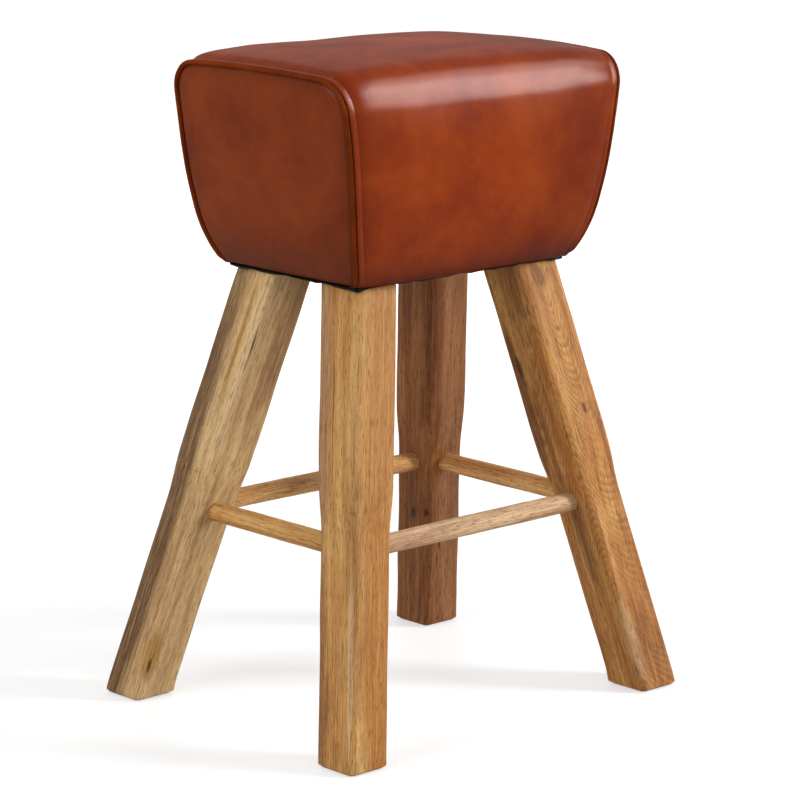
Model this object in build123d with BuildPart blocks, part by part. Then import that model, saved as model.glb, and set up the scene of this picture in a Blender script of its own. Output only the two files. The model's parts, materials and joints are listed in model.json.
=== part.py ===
from build123d import *
import os

# Leather bar stool: a flared leather seat block on four splayed square legs with four round rails.
# Millimetres. The origin is on the floor, in the middle of the four feet. X runs along the long
# side of the seat, -Y is its front and +Z is up.

os.makedirs("parts", exist_ok=True)

# Overall sizes
stool_height = 780
seat_bottom = 527

# Legs: level sections about a centre line that leans outwards both ways
foot_centre_x = 242.5
foot_centre_y = 190
top_centre_x = 127.6
top_centre_y = 70.0
leg_lower_side = 59
leg_upper_side = 65
leg_corner_radius = 8
foot_ease = 2.5
shoulder_bottom = 246
shoulder_length = 58
shoulder_rise_shares = (0, 0.25, 0.5, 0.75, 1)
shoulder_growth_shares = (0, 0.15, 0.5, 0.85, 1)

# Rails: hand-rounded sticks, a little thicker in the middle than at their glued ends
rail_height = 232
rail_middle_radius = 11.75
rail_end_radius = 10.75
rail_socket_depth = 15
rail_glue_gap = 0.15
rail_end_gap = 0.3

# Leather seat: sizes at the lower edge, and how far the ends and sides swell above it. The rim of an
# end lies a little below the seat's highest point
leather = 1.5
seat_bottom_length = 346
seat_bottom_width = 228
end_swell = 54
side_swell = 32
rim_drop = 9.5
end_panel_fall = 5.5
end_corner_radius = 40
end_rise_shares = (-0.06, 0, 0.06, 0.16, 0.35, 0.58, 0.72, 0.85, 1, 1.2)
end_swell_shares = (-0.16, 0, 0.14, 0.33, 0.54, 0.71, 0.80, 0.90, 1, 1.12)
side_rise_shares = (-0.06, 0, 0.06, 0.16, 0.35, 0.58, 0.72, 0.85, 1)
side_swell_shares = (-0.33, 0, 0.27, 0.54, 0.81, 0.97, 1, 0.98, 0.92)

# The wrap stands proud of the piping line. It is highest in the middle of the seat, and the ends
# bow out, both as arcs about distant axes
wrap_side_stand = 3
wrap_top_fall = 6.5
end_crown = 4
bow_angle = 5
wrap_shoulder_fall = 7.5
wrap_corner_radius = 43
wrap_edge_roll = 2.5
hem_inset_x = 11
hem_inset_y = 9

# Piping round each end: its route is arcs that touch each rim edge at a few places along it
piping_radius = 2.25
piping_side_shares = (0, 0.2, 0.5, 1)
piping_corner_shares = (0, 1)
piping_top_shares = (0, 1)
seam_gap = 0.3

# Black cloth under the seat, folded at its edge
cloth = 1.1
cloth_inset = 3
cloth_fold_width = 8
cloth_leg_gap = 0.6

# Foam
top_foam = 36
foam_gap = 0.3
foam_end_inset = 1.2

# Seat board and the box on it
seat_board_thickness = 18
board_inset_x = 7
board_inset_y = 3
box_board_thickness = 12
box_lean_x = 38
box_lean_y = 21
top_board_thickness = 12
corner_block_side = 20

# Coach screws that hold the legs: 8 mm with hexagon heads, on washers
screw_radius = 4
screw_hole_radius = 4.5
screw_head_flat = 13
screw_head_height = 5.3
screw_grip_in_leg = 50
screw_offset = 13
screw_tip_gap = 2
thread_gap = 0.1
washer_radius = 8
washer_thickness = 1.6

# One overrun serves every cut and every body that another one trims
overrun = 40

# Sizes that follow from those above
leg_top = seat_bottom + leather
board_top = leg_top + seat_board_thickness
box_top = stool_height - top_foam - top_board_thickness
end_panel_height = stool_height - rim_drop - seat_bottom
half_length = seat_bottom_length / 2
half_width = seat_bottom_width / 2
board_half_length = half_length - board_inset_x
board_half_width = half_width - board_inset_y
wrap_bow_radius = (half_length + end_swell) ** 2 / (2 * wrap_top_fall)
end_bow_radius = (half_width + side_swell) ** 2 / (2 * end_crown)
full_half_length = half_length + end_swell + overrun
full_half_width = half_width + side_swell + wrap_side_stand + overrun
full_height = stool_height - seat_bottom + overrun
sides = (("left", -1), ("right", 1))
faces_y = (("front", -1), ("back", 1))
corners = [(y_name + "_" + x_name, x_sign, y_sign)
           for y_name, y_sign in faces_y for x_name, x_sign in sides]


def save(shape, name):
    """Labels a finished piece and writes its file."""
    shape.label = name
    export_step(shape, "parts/" + name + ".step")


def leg_centre(height):
    """Centre of a leg's level section, as distances from the middle of the stool."""
    share = height / leg_top
    return (foot_centre_x + (top_centre_x - foot_centre_x) * share,
            foot_centre_y + (top_centre_y - foot_centre_y) * share)


def swell_points(bottom_half, swell, rise_shares, swell_shares, inset):
    """Points up one side of a seat outline: reach from the middle, and height.

    The points lie square to the side at the given inset."""
    points = [(bottom_half + swell * share, seat_bottom + end_panel_height * rise)
              for rise, share in zip(rise_shares, swell_shares)]
    moved = []
    for number, (reach, height) in enumerate(points):
        before = points[max(number - 1, 0)]
        after = points[min(number + 1, len(points) - 1)]
        slope = Vector(after[0] - before[0], after[1] - before[1]).normalized()
        moved.append((reach - inset * slope.Y, height + inset * slope.X))
    return moved


def trim_below(sketch, floor):
    """Cuts an upright outline off level at the given height."""
    with BuildSketch() as trimmed:
        add(sketch)
        with Locations((0, floor + full_height / 2)):
            Rectangle(2 * full_half_length, full_height, mode=Mode.INTERSECT)
    return trimmed.sketch


def seat_section(bottom_half, top, fall, radius, inset, floor):
    """Cross outline of the seat: swelling sides, crowned top and round shoulders."""
    right = swell_points(bottom_half, side_swell, side_rise_shares, side_swell_shares, inset)
    right[-1] = (right[-1][0], top - fall - inset)
    left = [(-reach, height) for reach, height in right]
    with BuildSketch() as section:
        with BuildLine():
            Line(left[0], right[0])
            Spline(right)
            ThreePointArc(right[-1], (0, top - inset), left[-1])
            Spline(left)
        make_face()
        fillet(section.vertices().group_by(Axis.Y)[-1], radius - inset)
    return trim_below(section.sketch, floor)


def bowed(section, axis):
    """A section turned a little about a distant axis, as far one way as the other."""
    with BuildPart() as body:
        revolve(section, axis=axis, revolution_arc=2 * bow_angle)
    return body.part.rotate(axis, -bow_angle)


def wrap_body(inset, floor):
    """The wrap's full form, highest in the middle, with spare length beyond both ends."""
    with BuildSketch(Plane.YZ) as section:
        add(seat_section(half_width + wrap_side_stand, stool_height, wrap_shoulder_fall,
                         wrap_corner_radius, inset, seat_bottom - overrun))
    axis = Axis((0, 0, stool_height - wrap_bow_radius), (0, 1, 0))
    with BuildPart() as body:
        add(bowed(section.sketch, axis))
        split(bisect_by=Plane.XY.offset(floor), keep=Keep.TOP)
    return body.part


def end_prism(inset, floor):
    """The end panel's outline run along the whole seat."""
    top = seat_bottom + end_panel_height
    with BuildPart() as body:
        with BuildSketch(Plane.YZ):
            add(seat_section(half_width, top, end_panel_fall, end_corner_radius, inset, floor))
        extrude(amount=full_half_length, both=True)
    return body.part


def end_space(inset, floor):
    """The space inside the right end, which swells upwards and bows a little from front to back."""
    reach = half_length + end_crown
    right = swell_points(reach, end_swell, end_rise_shares, end_swell_shares, inset)
    lid = seat_bottom + full_height
    with BuildSketch() as outline:
        with BuildLine():
            Spline(right)
            Polyline(right[-1], (right[-1][0], lid), (-overrun, lid), (-overrun, right[0][1]), right[0])
        make_face()
    with BuildSketch(Plane.XZ) as section:
        add(trim_below(outline.sketch, floor))
    return bowed(section.sketch, Axis((reach + end_swell - end_bow_radius, 0, 0), (0, 0, 1)))


def between_ends(inset, floor):
    """The space between the two swelling ends."""
    right_space = end_space(inset, floor)
    with BuildPart() as body:
        add(right_space)
        add(mirror(right_space, about=Plane.YZ))
    return body.part


def hopper(half_x, half_y, lean_x, lean_y):
    """A four-sided block that widens from the seat board up to the top board."""
    with BuildPart() as block:
        with BuildSketch(Plane.XY.offset(board_top)):
            Rectangle(2 * half_x, 2 * half_y)
        with BuildSketch(Plane.XY.offset(box_top)):
            Rectangle(2 * (half_x + lean_x), 2 * (half_y + lean_y))
        loft(ruled=True)
    return block.part


def arc_pair(start, heading, end, end_heading):
    """Two arcs that run smoothly from one place and heading to another, in the line being built."""
    chord = end - start
    along = chord.dot(heading + end_heading)
    turn = 2 * (1 - heading.dot(end_heading))
    reach = chord.length ** 2 / (along + (along ** 2 + turn * chord.length ** 2) ** 0.5)
    meeting = (start + heading * reach + end - end_heading * reach) / 2
    first_arc = TangentArc(start, meeting, tangent=heading)
    TangentArc(meeting, end, tangent=first_arc % 1)


def leg_section(x_sign, y_sign, height, side, extra):
    """A leg's level section at one height."""
    x, y = leg_centre(height)
    with BuildSketch(Plane((x * x_sign, y * y_sign, height))) as section:
        RectangleRounded(side + extra, side + extra, leg_corner_radius + extra / 2)
    return section.sketch


def leg_body(x_sign, y_sign, extra):
    """One leg's outside: a leaning shaft, a shoulder and a thicker shaft up to the seat board."""
    lean = Vector((top_centre_x - foot_centre_x) * x_sign / leg_top,
                  (top_centre_y - foot_centre_y) * y_sign / leg_top, 1)
    growth = leg_upper_side - leg_lower_side
    shoulder_top = shoulder_bottom + shoulder_length
    with BuildPart() as body:
        add(leg_section(x_sign, y_sign, 0, leg_lower_side, extra))
        extrude(amount=shoulder_bottom * lean.length, dir=lean.normalized())
        for rise, share in zip(shoulder_rise_shares, shoulder_growth_shares):
            add(leg_section(x_sign, y_sign, shoulder_bottom + shoulder_length * rise,
                            leg_lower_side + growth * share, extra))
        loft(ruled=True)
        add(leg_section(x_sign, y_sign, shoulder_top, leg_upper_side, extra))
        extrude(amount=(leg_top - shoulder_top) * lean.length, dir=lean.normalized())
    return body.part


# Seat board with its screw holes
screw_places = [(x_sign * (top_centre_x + step), y_sign * (top_centre_y - step))
               for name, x_sign, y_sign in corners for step in (-screw_offset, screw_offset)]
block_half_x = board_half_length - box_board_thickness - corner_block_side / 2
block_half_y = board_half_width - box_board_thickness - corner_block_side / 2

with BuildPart() as seat_board:
    with BuildSketch(Plane.XY.offset(leg_top)):
        Rectangle(2 * board_half_length, 2 * board_half_width)
    extrude(amount=seat_board_thickness)
    with BuildSketch(Plane.XY.offset(leg_top)):
        with Locations(screw_places):
            Circle(screw_hole_radius)
    extrude(amount=seat_board_thickness, mode=Mode.SUBTRACT)
save(seat_board.part, "seat_board")

# Box on the seat board: two leaning ends, two leaning sides between them, and a top board
box_outside = hopper(board_half_length, board_half_width, box_lean_x, box_lean_y)
between_end_boards = hopper(board_half_length - box_board_thickness, full_half_width,
                            box_lean_x, box_lean_y)
between_side_boards = hopper(full_half_length, board_half_width - box_board_thickness,
                             box_lean_x, box_lean_y)
for name, sign in sides:
    with BuildPart() as end_board:
        add(box_outside)
        add(between_end_boards, mode=Mode.SUBTRACT)
        split(bisect_by=Plane.YZ, keep=Keep.TOP if sign > 0 else Keep.BOTTOM)
    save(end_board.part, "end_board_" + name)
for name, sign in faces_y:
    with BuildPart() as side_board:
        add(box_outside)
        add(between_end_boards, mode=Mode.INTERSECT)
        add(between_side_boards, mode=Mode.SUBTRACT)
        split(bisect_by=Plane.XZ, keep=Keep.BOTTOM if sign > 0 else Keep.TOP)
    save(side_board.part, "side_board_" + name)
with BuildPart() as top_board:
    with BuildSketch(Plane.XY.offset(box_top)):
        Rectangle(2 * (board_half_length + box_lean_x), 2 * (board_half_width + box_lean_y))
    extrude(amount=top_board_thickness)
save(top_board.part, "top_board")

# Corner blocks: glued in the corners of the box, they lean with its boards
for name, x_sign, y_sign in corners:
    with BuildPart() as corner_block:
        for height, lean_share in ((board_top, 0), (box_top, 1)):
            x = x_sign * (block_half_x + box_lean_x * lean_share)
            y = y_sign * (block_half_y + box_lean_y * lean_share)
            with BuildSketch(Plane((x, y, height))):
                Rectangle(corner_block_side, corner_block_side)
        loft(ruled=True)
    save(corner_block.part, "corner_block_" + name)

# Legs, with sockets for the rails and pilot holes for the coach screws
rail_x, rail_y = leg_centre(rail_height)
socket_x = rail_x - leg_lower_side / 2 + rail_socket_depth
socket_y = rail_y - leg_lower_side / 2 + rail_socket_depth
socket_radius = rail_end_radius + rail_glue_gap
for name, x_sign, y_sign in corners:
    with BuildPart() as leg:
        add(leg_body(x_sign, y_sign, 0))
        chamfer(leg.faces().sort_by(Axis.Z)[0].edges(), foot_ease)
        with BuildSketch(Plane((x_sign * socket_x, y_sign * rail_y, rail_height),
                               x_dir=(0, 1, 0), z_dir=(-x_sign, 0, 0))):
            Circle(socket_radius)
        extrude(amount=overrun, mode=Mode.SUBTRACT)
        with BuildSketch(Plane((x_sign * rail_x, y_sign * socket_y, rail_height),
                               x_dir=(1, 0, 0), z_dir=(0, -y_sign, 0))):
            Circle(socket_radius)
        extrude(amount=overrun, mode=Mode.SUBTRACT)
        places = [place for place in screw_places if place[0] * x_sign > 0 and place[1] * y_sign > 0]
        with BuildSketch(Plane.XY.offset(leg_top)):
            with Locations(places):
                Circle(screw_radius + thread_gap)
        extrude(amount=-(screw_grip_in_leg + screw_tip_gap), mode=Mode.SUBTRACT)
    save(leg.part, "leg_" + name)

# Rails: straight glued ends and a slight belly between them
def rail(half_length_between, plane, axis):
    """One rail, turned about its own middle."""
    half = half_length_between - rail_end_gap
    tenon = half - rail_socket_depth
    with BuildPart() as stick:
        with BuildSketch(plane):
            with BuildLine():
                Polyline((-tenon, rail_end_radius), (-half, rail_end_radius), (-half, 0),
                         (half, 0), (half, rail_end_radius), (tenon, rail_end_radius))
                ThreePointArc((tenon, rail_end_radius), (0, rail_middle_radius),
                              (-tenon, rail_end_radius))
            make_face()
        revolve(axis=axis)
    return stick.part


for name, sign in faces_y:
    middle = (0, sign * rail_y, rail_height)
    save(rail(socket_x, Plane(middle, x_dir=(1, 0, 0), z_dir=(0, -1, 0)),
              Axis(middle, (1, 0, 0))), "rail_" + name)
for name, sign in sides:
    middle = (sign * rail_x, 0, rail_height)
    save(rail(socket_y, Plane(middle, x_dir=(0, 1, 0), z_dir=(1, 0, 0)),
              Axis(middle, (0, 1, 0))), "rail_" + name)

# Coach screws and their washers
with BuildPart() as coach_screws:
    with BuildSketch(Plane.XY.offset(board_top + washer_thickness)):
        with Locations(screw_places):
            RegularPolygon(screw_head_flat / 2, 6, major_radius=False)
    extrude(amount=screw_head_height)
    with BuildSketch(Plane.XY.offset(board_top + washer_thickness)):
        with Locations(screw_places):
            Circle(screw_radius)
    extrude(amount=-(washer_thickness + seat_board_thickness + screw_grip_in_leg))
save(coach_screws.part, "coach_screws")
with BuildPart() as screw_washers:
    with BuildSketch(Plane.XY.offset(board_top)):
        with Locations(screw_places):
            Circle(washer_radius)
            Circle(screw_hole_radius, mode=Mode.SUBTRACT)
    extrude(amount=washer_thickness)
save(screw_washers.part, "screw_washers")

# Black cloth under the seat, cut round the legs and folded double at its edge
with BuildPart() as dust_cover:
    with BuildSketch(Plane.XY.offset(seat_bottom)):
        Rectangle(2 * (half_length - cloth_inset), 2 * (half_width - cloth_inset))
    extrude(amount=-cloth)
    with BuildSketch(Plane.XY.offset(seat_bottom - cloth)):
        Rectangle(2 * (half_length - cloth_inset), 2 * (half_width - cloth_inset))
        Rectangle(2 * (half_length - cloth_inset - cloth_fold_width),
                  2 * (half_width - cloth_inset - cloth_fold_width), mode=Mode.SUBTRACT)
    extrude(amount=-cloth)
    for name, x_sign, y_sign in corners:
        add(leg_body(x_sign, y_sign, 2 * cloth_leg_gap), mode=Mode.SUBTRACT)
save(dust_cover.part, "dust_cover")

# Foam: one piece over the front, top and back of the box, and a pad on each end
with BuildPart() as core_slab:
    with BuildSketch(Plane.XZ):
        half_top = board_half_length + box_lean_x
        lid = seat_bottom + full_height
        with BuildLine():
            Polyline((-board_half_length, leg_top), (board_half_length, leg_top),
                     (board_half_length, board_top), (half_top, box_top), (half_top, lid),
                     (-half_top, lid), (-half_top, box_top), (-board_half_length, board_top),
                     close=True)
        make_face()
    extrude(amount=full_half_width, both=True)
with BuildPart() as foam_wrap:
    add(wrap_body(leather + foam_gap, leg_top))
    add(core_slab.part, mode=Mode.INTERSECT)
    with BuildSketch(Plane.XY.offset(leg_top)):
        Rectangle(2 * board_half_length, 2 * board_half_width)
    extrude(amount=seat_board_thickness, mode=Mode.SUBTRACT)
    add(box_outside, mode=Mode.SUBTRACT)
    with BuildSketch(Plane.XY.offset(box_top)):
        Rectangle(2 * half_top, 2 * (board_half_width + box_lean_y))
    extrude(amount=top_board_thickness, mode=Mode.SUBTRACT)
save(foam_wrap.part, "foam_wrap")
foam_back = 2 * piping_radius + foam_gap
for name, sign in sides:
    with BuildPart() as foam_end:
        add(end_prism(foam_end_inset, leg_top))
        add(between_ends(foam_back, leg_top), mode=Mode.INTERSECT)
        add(core_slab.part, mode=Mode.SUBTRACT)
        split(bisect_by=Plane.YZ, keep=Keep.TOP if sign > 0 else Keep.BOTTOM)
    save(foam_end.part, "foam_end_" + name)

# Leather ends: a crowned panel inside the piping, turned under the seat board
panel_back = 2 * piping_radius
for name, sign in sides:
    with BuildPart() as leather_end:
        add(end_prism(2 * piping_radius + seam_gap, seat_bottom))
        add(between_ends(panel_back - leather, seat_bottom), mode=Mode.INTERSECT)
        add(between_ends(panel_back, leg_top), mode=Mode.SUBTRACT)
        with BuildSketch(Plane.XY.offset(seat_bottom)):
            Rectangle(2 * (half_length - hem_inset_x), 2 * full_half_width)
        extrude(amount=leather, mode=Mode.SUBTRACT)
        split(bisect_by=Plane.YZ, keep=Keep.TOP if sign > 0 else Keep.BOTTOM)
    save(leather_end.part, "leather_end_" + name)

# Piping: a round cord along the rim of each end, from the lower edge up, over and down
with BuildPart() as piping_rim:
    add(end_prism(piping_radius, seat_bottom))
    add(between_ends(piping_radius, seat_bottom), mode=Mode.INTERSECT)
for name, sign in sides:
    rim_face = piping_rim.faces().sort_by(Axis.X)[-1 if sign > 0 else 0]
    rim_edges = Wire(rim_face.edges().sort_by(Axis.Z)[1:]).edges()
    downward_shares = [1 - share for share in reversed(piping_side_shares)]
    edge_shares = (piping_side_shares, piping_corner_shares, piping_top_shares,
                   piping_corner_shares, downward_shares)
    with BuildLine() as route:
        for edge, shares in zip(rim_edges, edge_shares):
            for first, last in zip(shares, shares[1:]):
                arc_pair(edge @ first, edge % first, edge @ last, edge % last)
    route_wire = route.wire()
    with BuildPart() as piping:
        with BuildSketch(Plane(route_wire @ 0, z_dir=route_wire % 0)):
            Circle(piping_radius)
        sweep(path=route_wire)
    save(piping.part, "piping_" + name)

# Leather wrap: one panel up the front, over the top and down the back, rolled in at both ends to
# meet the piping, and turned under the seat board
with BuildPart() as wrap_inside:
    add(wrap_body(leather, leg_top))
    add(between_ends(piping_radius + leather, leg_top), mode=Mode.INTERSECT)
with BuildPart() as end_holes:
    add(end_prism(-seam_gap, seat_bottom))
    with BuildSketch(Plane.XY.offset(seat_bottom)):
        Rectangle(2 * (half_length - hem_inset_x), 2 * full_half_width)
    extrude(amount=full_height, mode=Mode.SUBTRACT)
with BuildPart() as leather_wrap:
    add(wrap_body(0, seat_bottom))
    add(between_ends(piping_radius, seat_bottom), mode=Mode.INTERSECT)
    for place in (0, -1):
        end_face = leather_wrap.faces().sort_by(Axis.X)[place]
        fillet(end_face.edges().sort_by(Axis.Z)[1:], wrap_edge_roll)
    add(wrap_inside.part, mode=Mode.SUBTRACT)
    add(end_holes.part, mode=Mode.SUBTRACT)
    with BuildSketch(Plane.XY.offset(seat_bottom)):
        Rectangle(2 * (half_length - hem_inset_x), 2 * (half_width - hem_inset_y))
    extrude(amount=leather, mode=Mode.SUBTRACT)
save(leather_wrap.part, "leather_wrap")
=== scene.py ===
import json
import math
from contextlib import contextmanager
import bpy
import numpy as np
from mathutils import Matrix, Vector, noise

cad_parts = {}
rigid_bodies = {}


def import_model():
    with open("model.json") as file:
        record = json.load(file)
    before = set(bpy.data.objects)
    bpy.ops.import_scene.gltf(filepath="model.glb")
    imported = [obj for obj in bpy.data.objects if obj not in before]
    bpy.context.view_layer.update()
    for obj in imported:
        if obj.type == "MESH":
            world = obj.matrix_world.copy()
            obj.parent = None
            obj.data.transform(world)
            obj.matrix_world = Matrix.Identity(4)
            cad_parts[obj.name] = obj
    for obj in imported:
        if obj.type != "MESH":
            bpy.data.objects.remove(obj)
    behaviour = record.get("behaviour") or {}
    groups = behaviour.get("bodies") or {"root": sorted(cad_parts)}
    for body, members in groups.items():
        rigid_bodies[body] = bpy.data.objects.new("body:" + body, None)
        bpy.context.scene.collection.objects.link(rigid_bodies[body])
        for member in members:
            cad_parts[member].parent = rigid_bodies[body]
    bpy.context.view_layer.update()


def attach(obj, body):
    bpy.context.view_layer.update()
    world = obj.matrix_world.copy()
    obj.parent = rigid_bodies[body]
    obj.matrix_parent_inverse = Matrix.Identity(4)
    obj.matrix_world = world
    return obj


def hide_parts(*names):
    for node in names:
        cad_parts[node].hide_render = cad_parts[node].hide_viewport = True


# Leather bar stool: burnished leather seat over a foam-covered box, on hand-worked wooden legs.
# Metres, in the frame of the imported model: the floor is at zero, X runs along the long side of
# the seat and -Y is its front.

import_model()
mm = 0.001

# Seat sizes, as in the solid model
seat_bottom = 527 * mm
rim_rise = 243.5 * mm
rim_fall = 5.5 * mm
half_length = 173 * mm
half_width = 114 * mm
end_swell = 54 * mm
side_swell = 32 * mm
end_crown = 4 * mm
corner_radius = 40 * mm
piping_radius = 2.25 * mm
rise_shares = (-0.06, 0, 0.06, 0.16, 0.35, 0.58, 0.72, 0.85, 1, 1.2)
side_swells = (-0.33, 0, 0.27, 0.54, 0.81, 0.97, 1, 0.98, 0.92, 0.84)
end_swells = (-0.16, 0, 0.14, 0.33, 0.54, 0.71, 0.80, 0.90, 1, 1.12)
rim_half_width = half_width + side_swells[rise_shares.index(1)] * side_swell

# Leather wrap: height over the line of the piping, and the seam strip beside it
wrap_side_height = 6.5 * mm
wrap_top_height = 11.7 * mm
lip_height = 2.3 * mm
tuck_depth = 1.4 * mm
tuck_width = 2.2 * mm
lip_width = 4.4 * mm
strip_width = 12.5 * mm
strip_step = 0.4 * mm
stuffing_start = 9 * mm
hem_width = 9 * mm
hem_gap = 0.2 * mm
leather = 1.5 * mm

# Legs and rails, as in the solid model
foot_centre = (242.5 * mm, 190 * mm)
top_centre = (127.6 * mm, 70 * mm)
leg_top = 528.5 * mm
leg_lower_side = 59 * mm
leg_upper_side = 65 * mm
leg_edge = 8 * mm
shoulder_bottom = 246 * mm
shoulder_length = 58 * mm
rail_height = 232 * mm
rail_radius = 11.4 * mm
rail_socket_depth = 14 * mm

corners = {"front_left": (-1, -1), "front_right": (1, -1), "back_left": (-1, 1), "back_right": (1, 1)}


def between(value, low, high):
    """Smooth step from 0 at low to 1 at high, for one number or an array."""
    share = np.clip((np.asarray(value, float) - low) / (high - low), 0, 1)
    return share * share * (3 - 2 * share)


def bell(value, middle, width):
    """1 at the middle, fading to 0 on both sides."""
    return np.exp(-((value - middle) / width) ** 2)


def smooth_curve(places, values, at):
    """Value of a smooth curve through the given points, for an array of places."""
    places, values = np.array(places, float), np.array(values, float)
    slopes = np.gradient(values, places)
    at = np.clip(np.asarray(at, float), places[0], places[-1])
    step = np.clip(np.searchsorted(places, at) - 1, 0, len(places) - 2)
    width = places[step + 1] - places[step]
    t = (at - places[step]) / width
    return ((1 + 2 * t) * (1 - t) ** 2 * values[step] + t * (1 - t) ** 2 * width * slopes[step]
            + t * t * (3 - 2 * t) * values[step + 1] + t * t * (t - 1) * width * slopes[step + 1])


def swelled(swells, height):
    """Share of the full swell at a height."""
    return smooth_curve(rise_shares, swells, (height - seat_bottom) / rim_rise)


def side_reach(height):
    """How far the piping line's outline stands from the middle plane at a height."""
    return half_width + side_swell * swelled(side_swells, height)


def end_reach(y, height):
    """How far the seat's ends stand out at a place on them."""
    bow = end_crown * (1 - (y / (half_width + side_swell)) ** 2)
    return half_length + bow + end_swell * swelled(end_swells, height)


def rim_top(y):
    """Height of the end outline's crowned top."""
    return seat_bottom + rim_rise - rim_fall * (y / rim_half_width) ** 2


def slope_of(function, at):
    """Slope of a curve, from two near points."""
    return float(function(at + mm) - function(at - mm)) / (2 * mm)


def resample(points, count):
    """The same line with evenly spaced points."""
    points = np.array(points, float)
    along = np.concatenate(([0], np.cumsum(np.linalg.norm(np.diff(points, axis=0), axis=1))))
    wanted = np.linspace(0, along[-1], count)
    return np.column_stack([np.interp(wanted, along, column) for column in points.T])


def line_normals(points):
    """Outward directions of a line that runs up the front, over the top and down the back."""
    tangents = np.gradient(points, axis=0)
    tangents /= np.linalg.norm(tangents, axis=1)[:, None]
    return np.column_stack([-tangents[:, 1], tangents[:, 0]])


def rim_line(inset, count):
    """Outline of the seat's end from the front's lower edge over the top to the back's, as (y, z)."""
    centre_y = half_width + side_swell - corner_radius
    centre_z = seat_bottom + rim_rise - corner_radius
    for turn in range(20):
        side_slope = slope_of(side_reach, centre_z)
        top_slope = slope_of(rim_top, centre_y)
        centre_y = float(side_reach(centre_z)) - corner_radius * math.hypot(1, side_slope)
        centre_z = float(rim_top(centre_y)) - corner_radius * math.hypot(1, top_slope)
    first = math.atan2(-side_slope, 1)
    last = math.atan2(1, -top_slope)
    touch_z = centre_z + corner_radius * math.sin(first)
    heights = np.linspace(seat_bottom, touch_z, 60)[:-1]
    raw = np.column_stack([side_reach(heights), heights])
    arc = [(centre_y + corner_radius * math.cos(angle), centre_z + corner_radius * math.sin(angle))
           for angle in np.linspace(first, last, 24)]
    ys = np.linspace(arc[-1][0], 0, 30)[1:]
    top = np.column_stack([ys, rim_top(ys)])
    half = np.vstack([raw, arc, top])
    whole = np.vstack([half, (half * (-1, 1))[-2::-1]]) * (-1, 1)
    whole = resample(whole, 4 * count)
    return resample(whole - inset * line_normals(whole), count)


def make_piece(name, vertices, faces, body="root"):
    """A mesh object of the given faces, riding on the stool."""
    mesh = bpy.data.meshes.new(name)
    mesh.from_pydata([tuple(v) for v in vertices], [], faces)
    mesh.update()
    piece = bpy.data.objects.new(name, mesh)
    bpy.context.scene.collection.objects.link(piece)
    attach(piece, body)
    return piece


def grid_faces(rows, columns):
    """Quads of a grid whose points are stored row by row."""
    return [(r * columns + c, r * columns + c + 1, (r + 1) * columns + c + 1, (r + 1) * columns + c)
            for r in range(rows - 1) for c in range(columns - 1)]


def grid_edge(rows, columns):
    """The points round the edge of such a grid."""
    return ([*range(columns)] + [r * columns + columns - 1 for r in range(1, rows)]
            + [(rows - 1) * columns + c for c in range(columns - 2, -1, -1)]
            + [r * columns for r in range(rows - 2, 0, -1)])


def every(step, count):
    """Every few of a grid's rows or columns, and the last one."""
    return np.unique([*range(0, count, step), count - 1])


def put_attribute(piece, name, values):
    """Stores one number per point on a piece."""
    attribute = piece.data.attributes.new(name, "FLOAT", "POINT")
    attribute.data.foreach_set("value", np.asarray(values, np.float32).ravel())


def only(piece):
    """Makes a piece the one selected and active object."""
    bpy.ops.object.select_all(action="DESELECT")
    piece.select_set(True)
    bpy.context.view_layer.objects.active = piece


@contextmanager
def editing():
    """Edit mode on the active object."""
    bpy.ops.object.mode_set(mode="EDIT")
    yield
    bpy.ops.object.mode_set(mode="OBJECT")


def face_outward(piece, join=None):
    """Clears loose points, joins points nearer than join, and turns the faces outward."""
    only(piece)
    with editing():
        bpy.ops.mesh.select_all(action="SELECT")
        bpy.ops.mesh.delete_loose()
        bpy.ops.mesh.select_all(action="SELECT")
        if join:
            bpy.ops.mesh.remove_doubles(threshold=join)
        bpy.ops.mesh.normals_make_consistent(inside=False)


def settle():
    """Writes the active object's place, turn and size into its mesh."""
    bpy.ops.object.transform_apply(location=True, rotation=True, scale=True)


def draw_out(move):
    """Extrudes what is selected in edit mode."""
    bpy.ops.mesh.extrude_region_move(TRANSFORM_OT_translate={"value": move})


def apply_modifier(piece, kind, **settings):
    """Adds a modifier with its settings and applies it."""
    only(piece)
    modifier = piece.modifiers.new(kind.title(), kind)
    for key, value in settings.items():
        setattr(modifier, key, value)
    bpy.ops.object.modifier_apply(modifier=modifier.name)


def smooth(piece, angle=None):
    """Smooth shading, all over or only across flat edges."""
    only(piece)
    if angle is None:
        bpy.ops.object.shade_smooth()
    else:
        bpy.ops.object.shade_smooth_by_angle(angle=math.radians(angle))


def wrinkle(points, size, seed, detail=2):
    """Soft noise from -1 to 1 at each point."""
    return np.array([noise.fractal(Vector(p) / size + Vector((seed, seed, seed)), 1.0, 2.0, detail)
                     for p in points])


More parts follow.
